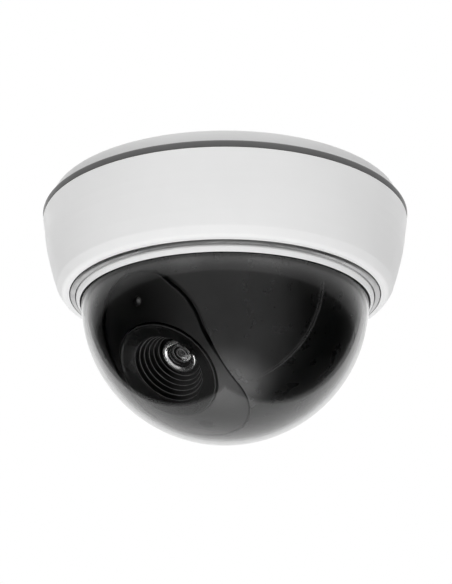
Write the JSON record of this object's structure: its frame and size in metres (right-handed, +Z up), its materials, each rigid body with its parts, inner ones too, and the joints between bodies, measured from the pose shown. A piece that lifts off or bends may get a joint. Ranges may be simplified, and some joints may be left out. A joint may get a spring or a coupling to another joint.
{
  "type": "dome cctv camera",
  "caption": "Ceiling dome CCTV camera: white round housing with a dark band, smoked dome, and a stepped lens in a black ball that pans, tilts and rolls.",
  "frame": {"origin": "centre of the base plate's flat face that meets the ceiling", "axes": "+Z up into the ceiling; the camera hangs below and its lens looks towards -Y and 47.5 degrees down; +X to the right seen from the front"},
  "size_m": [0.1308, 0.1308, 0.0868],
  "materials": {
    "white_plastic": "white ABS, fine satin mould texture",
    "base_plastic": "off-white ABS, matt",
    "band_metal": "dark grey metallic lacquer, satin",
    "chrome_trim": "bright metallised trim, slightly brushed",
    "smoked_dome": "smoked acrylic, polished",
    "shroud_plastic": "black satin mould finish",
    "lens_plastic": "black, fine spark-eroded texture",
    "black_plastic": "black nylon, matt",
    "black_metal": "black anodised",
    "rubber": "black rubber, matt",
    "steel": "zinc plated",
    "aluminium": "plain machined",
    "nylon": "natural nylon",
    "lens_glass": "coated optical glass",
    "circuit_board": "green solder mask",
    "chip": "black moulded package",
    "led_clear": "water-clear epoxy"
  },
  "bodies": {
    "base": {"mount_base": "base_plastic", "cable_grommet": "rubber", "pan_wave_washer": "steel", "pan_retainer_ring": "black_plastic", "retainer_screw_1": "steel", "retainer_screw_2": "steel", "retainer_screw_3": "steel", "cover_clip_1": "steel", "cover_clip_2": "steel", "cover_clip_3": "steel"},
    "cover": {"upper_trim_ring": "band_metal", "housing_shell": "white_plastic", "lower_trim_ring": "chrome_trim", "dome_retaining_ring": "white_plastic", "dome_gasket": "rubber", "smoked_dome": "smoked_dome", "dome_clamp_ring": "black_plastic", "clamp_screw_1": "steel", "clamp_screw_2": "steel", "clamp_screw_3": "steel"},
    "pan_stage": {"pan_turntable": "black_plastic", "yoke_arm_left": "black_plastic", "yoke_arm_right": "black_plastic", "yoke_screw_1": "steel", "yoke_screw_2": "steel", "yoke_screw_3": "steel", "yoke_screw_4": "steel", "tilt_washer_left": "nylon", "tilt_washer_right": "nylon"},
    "eye": {"inner_shroud": "shroud_plastic", "face_plate": "shroud_plastic", "status_led": "led_clear", "sensor_window": "chip", "tilt_pivot_screw_left": "steel", "tilt_pivot_screw_right": "steel"},
    "camera_module": {"lens_bezel": "lens_plastic", "lens_hood": "lens_plastic", "lens_holder": "black_plastic", "focus_lock_ring": "black_metal", "sensor_board": "circuit_board", "image_sensor": "chip", "holder_screw_1": "steel", "holder_screw_2": "steel", "board_standoff_1": "aluminium", "board_standoff_2": "aluminium", "board_standoff_3": "aluminium", "board_standoff_4": "aluminium", "processor_board": "circuit_board", "board_screw_1": "steel", "board_screw_2": "steel", "board_screw_3": "steel", "board_screw_4": "steel", "video_processor": "chip", "board_connector": "nylon"},
    "lens": {"lens_barrel": "black_metal", "lens_front_ring": "aluminium", "front_lens": "lens_glass", "iris_ring": "aluminium", "middle_lens": "lens_glass", "rear_lens": "lens_glass"}
  },
  "joints": [
    {"name": "cover_pull", "type": "slide", "parent": "base", "child": "cover", "axis": [0, 0, -1], "range_m": [0, 0.1]},
    {"name": "pan", "type": "hinge", "parent": "base", "child": "pan_stage", "pos_m": [0, 0, -0.008], "axis": [0, 0, 1], "range_deg": [-175, 175]},
    {"name": "tilt", "type": "hinge", "parent": "pan_stage", "child": "eye", "pos_m": [0, 0, -0.03595], "axis": [1, 0, 0], "range_deg": [-15, 15]},
    {"name": "roll", "type": "hinge", "parent": "eye", "child": "camera_module", "pos_m": [0, 0, -0.03595], "axis": [0, -0.6756, -0.7373], "range_deg": [-175, 175]},
    {"name": "focus_turn", "type": "hinge", "parent": "camera_module", "child": "lens", "pos_m": [0, 0, -0.03595], "axis": [0, -0.6756, -0.7373], "range_deg": [-180, 180]}
  ]
}
